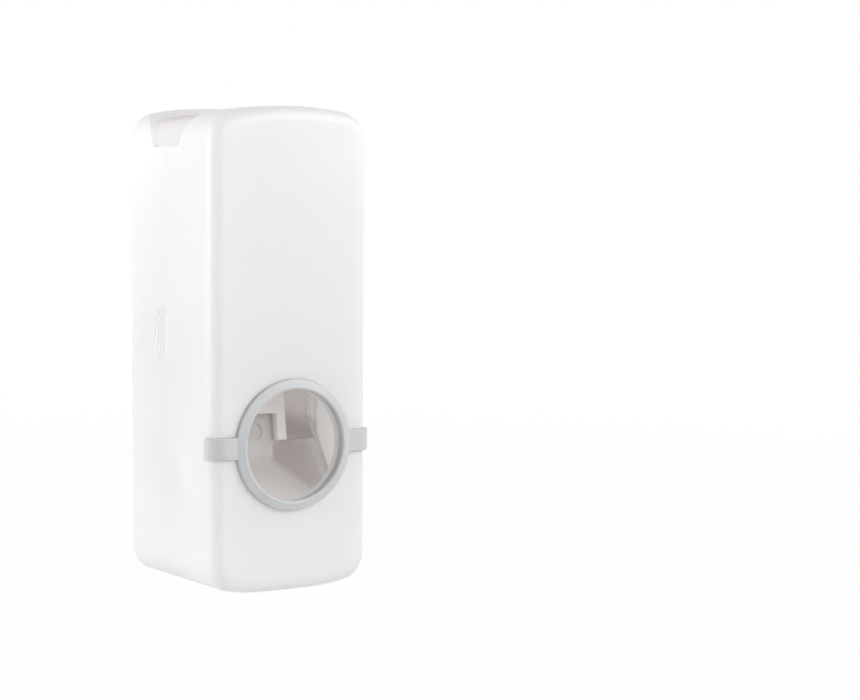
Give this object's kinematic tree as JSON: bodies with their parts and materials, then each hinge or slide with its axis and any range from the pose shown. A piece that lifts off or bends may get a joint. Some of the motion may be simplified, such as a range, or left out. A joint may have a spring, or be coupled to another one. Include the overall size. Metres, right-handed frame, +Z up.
{
  "type": "toothpaste dispenser",
  "caption": "Upright white toothpaste dispenser: a pull-off front cover with a grey-ringed brush port, a sprung push lever working a bulb pump, and a hook-on wall plate.",
  "frame": {"origin": "middle of the flat strip on the underside, below the middle of the case's depth", "axes": "+Z up, -Y towards the front with the brush port, +X to the right as seen from the front"},
  "size_m": [0.0606, 0.0597, 0.155],
  "materials": {
    "white_case": "smooth satin white",
    "grey_trim": "satin cool grey",
    "warm_inner": "warm pale moulding",
    "light_lever": "pale warm moulding",
    "soft_silicone": "milky soft silicone",
    "steel": "bright wire and turned steel",
    "foam_tape": "foam tape"
  },
  "bodies": {
    "housing": {"rear_housing": "white_case", "brush_bay": "warm_inner", "bay_screws": "steel", "pump_frame": "warm_inner", "frame_screws": "steel", "pump_bulb": "soft_silicone", "bulb_collar": "warm_inner", "collar_screws": "steel", "tube_seal": "soft_silicone", "valve_plate": "warm_inner", "inlet_flap": "soft_silicone", "outlet_nozzle": "soft_silicone", "nozzle_clamp": "warm_inner", "lever_pin": "steel", "pin_clips": "steel", "return_spring": "steel"},
    "cover": {"front_cover": "white_case", "trim_ring": "grey_trim"},
    "lever": {"push_lever": "light_lever", "press_pad": "soft_silicone"},
    "wall_mount": {"wall_plate": "warm_inner", "adhesive_pad": "foam_tape"}
  },
  "joints": [
    {"name": "cover_pull", "type": "slide", "parent": "housing", "child": "cover", "axis": [0, -1, 0], "range_m": [0, 0.045]},
    {"name": "lever_push", "type": "hinge", "parent": "housing", "child": "lever", "pos_m": [0, 0.0068, 0.0655], "axis": [1, 0, 0], "range_deg": [0, 15], "stiffness_Nm_per_rad": 0.06, "springref_deg": -20.05, "deforming": ["return_spring", "pump_bulb"]},
    {"name": "wall_unhook", "type": "slide", "parent": "housing", "child": "wall_mount", "axis": [0, 0, -1], "range_m": [0, 0.0059]}
  ]
}
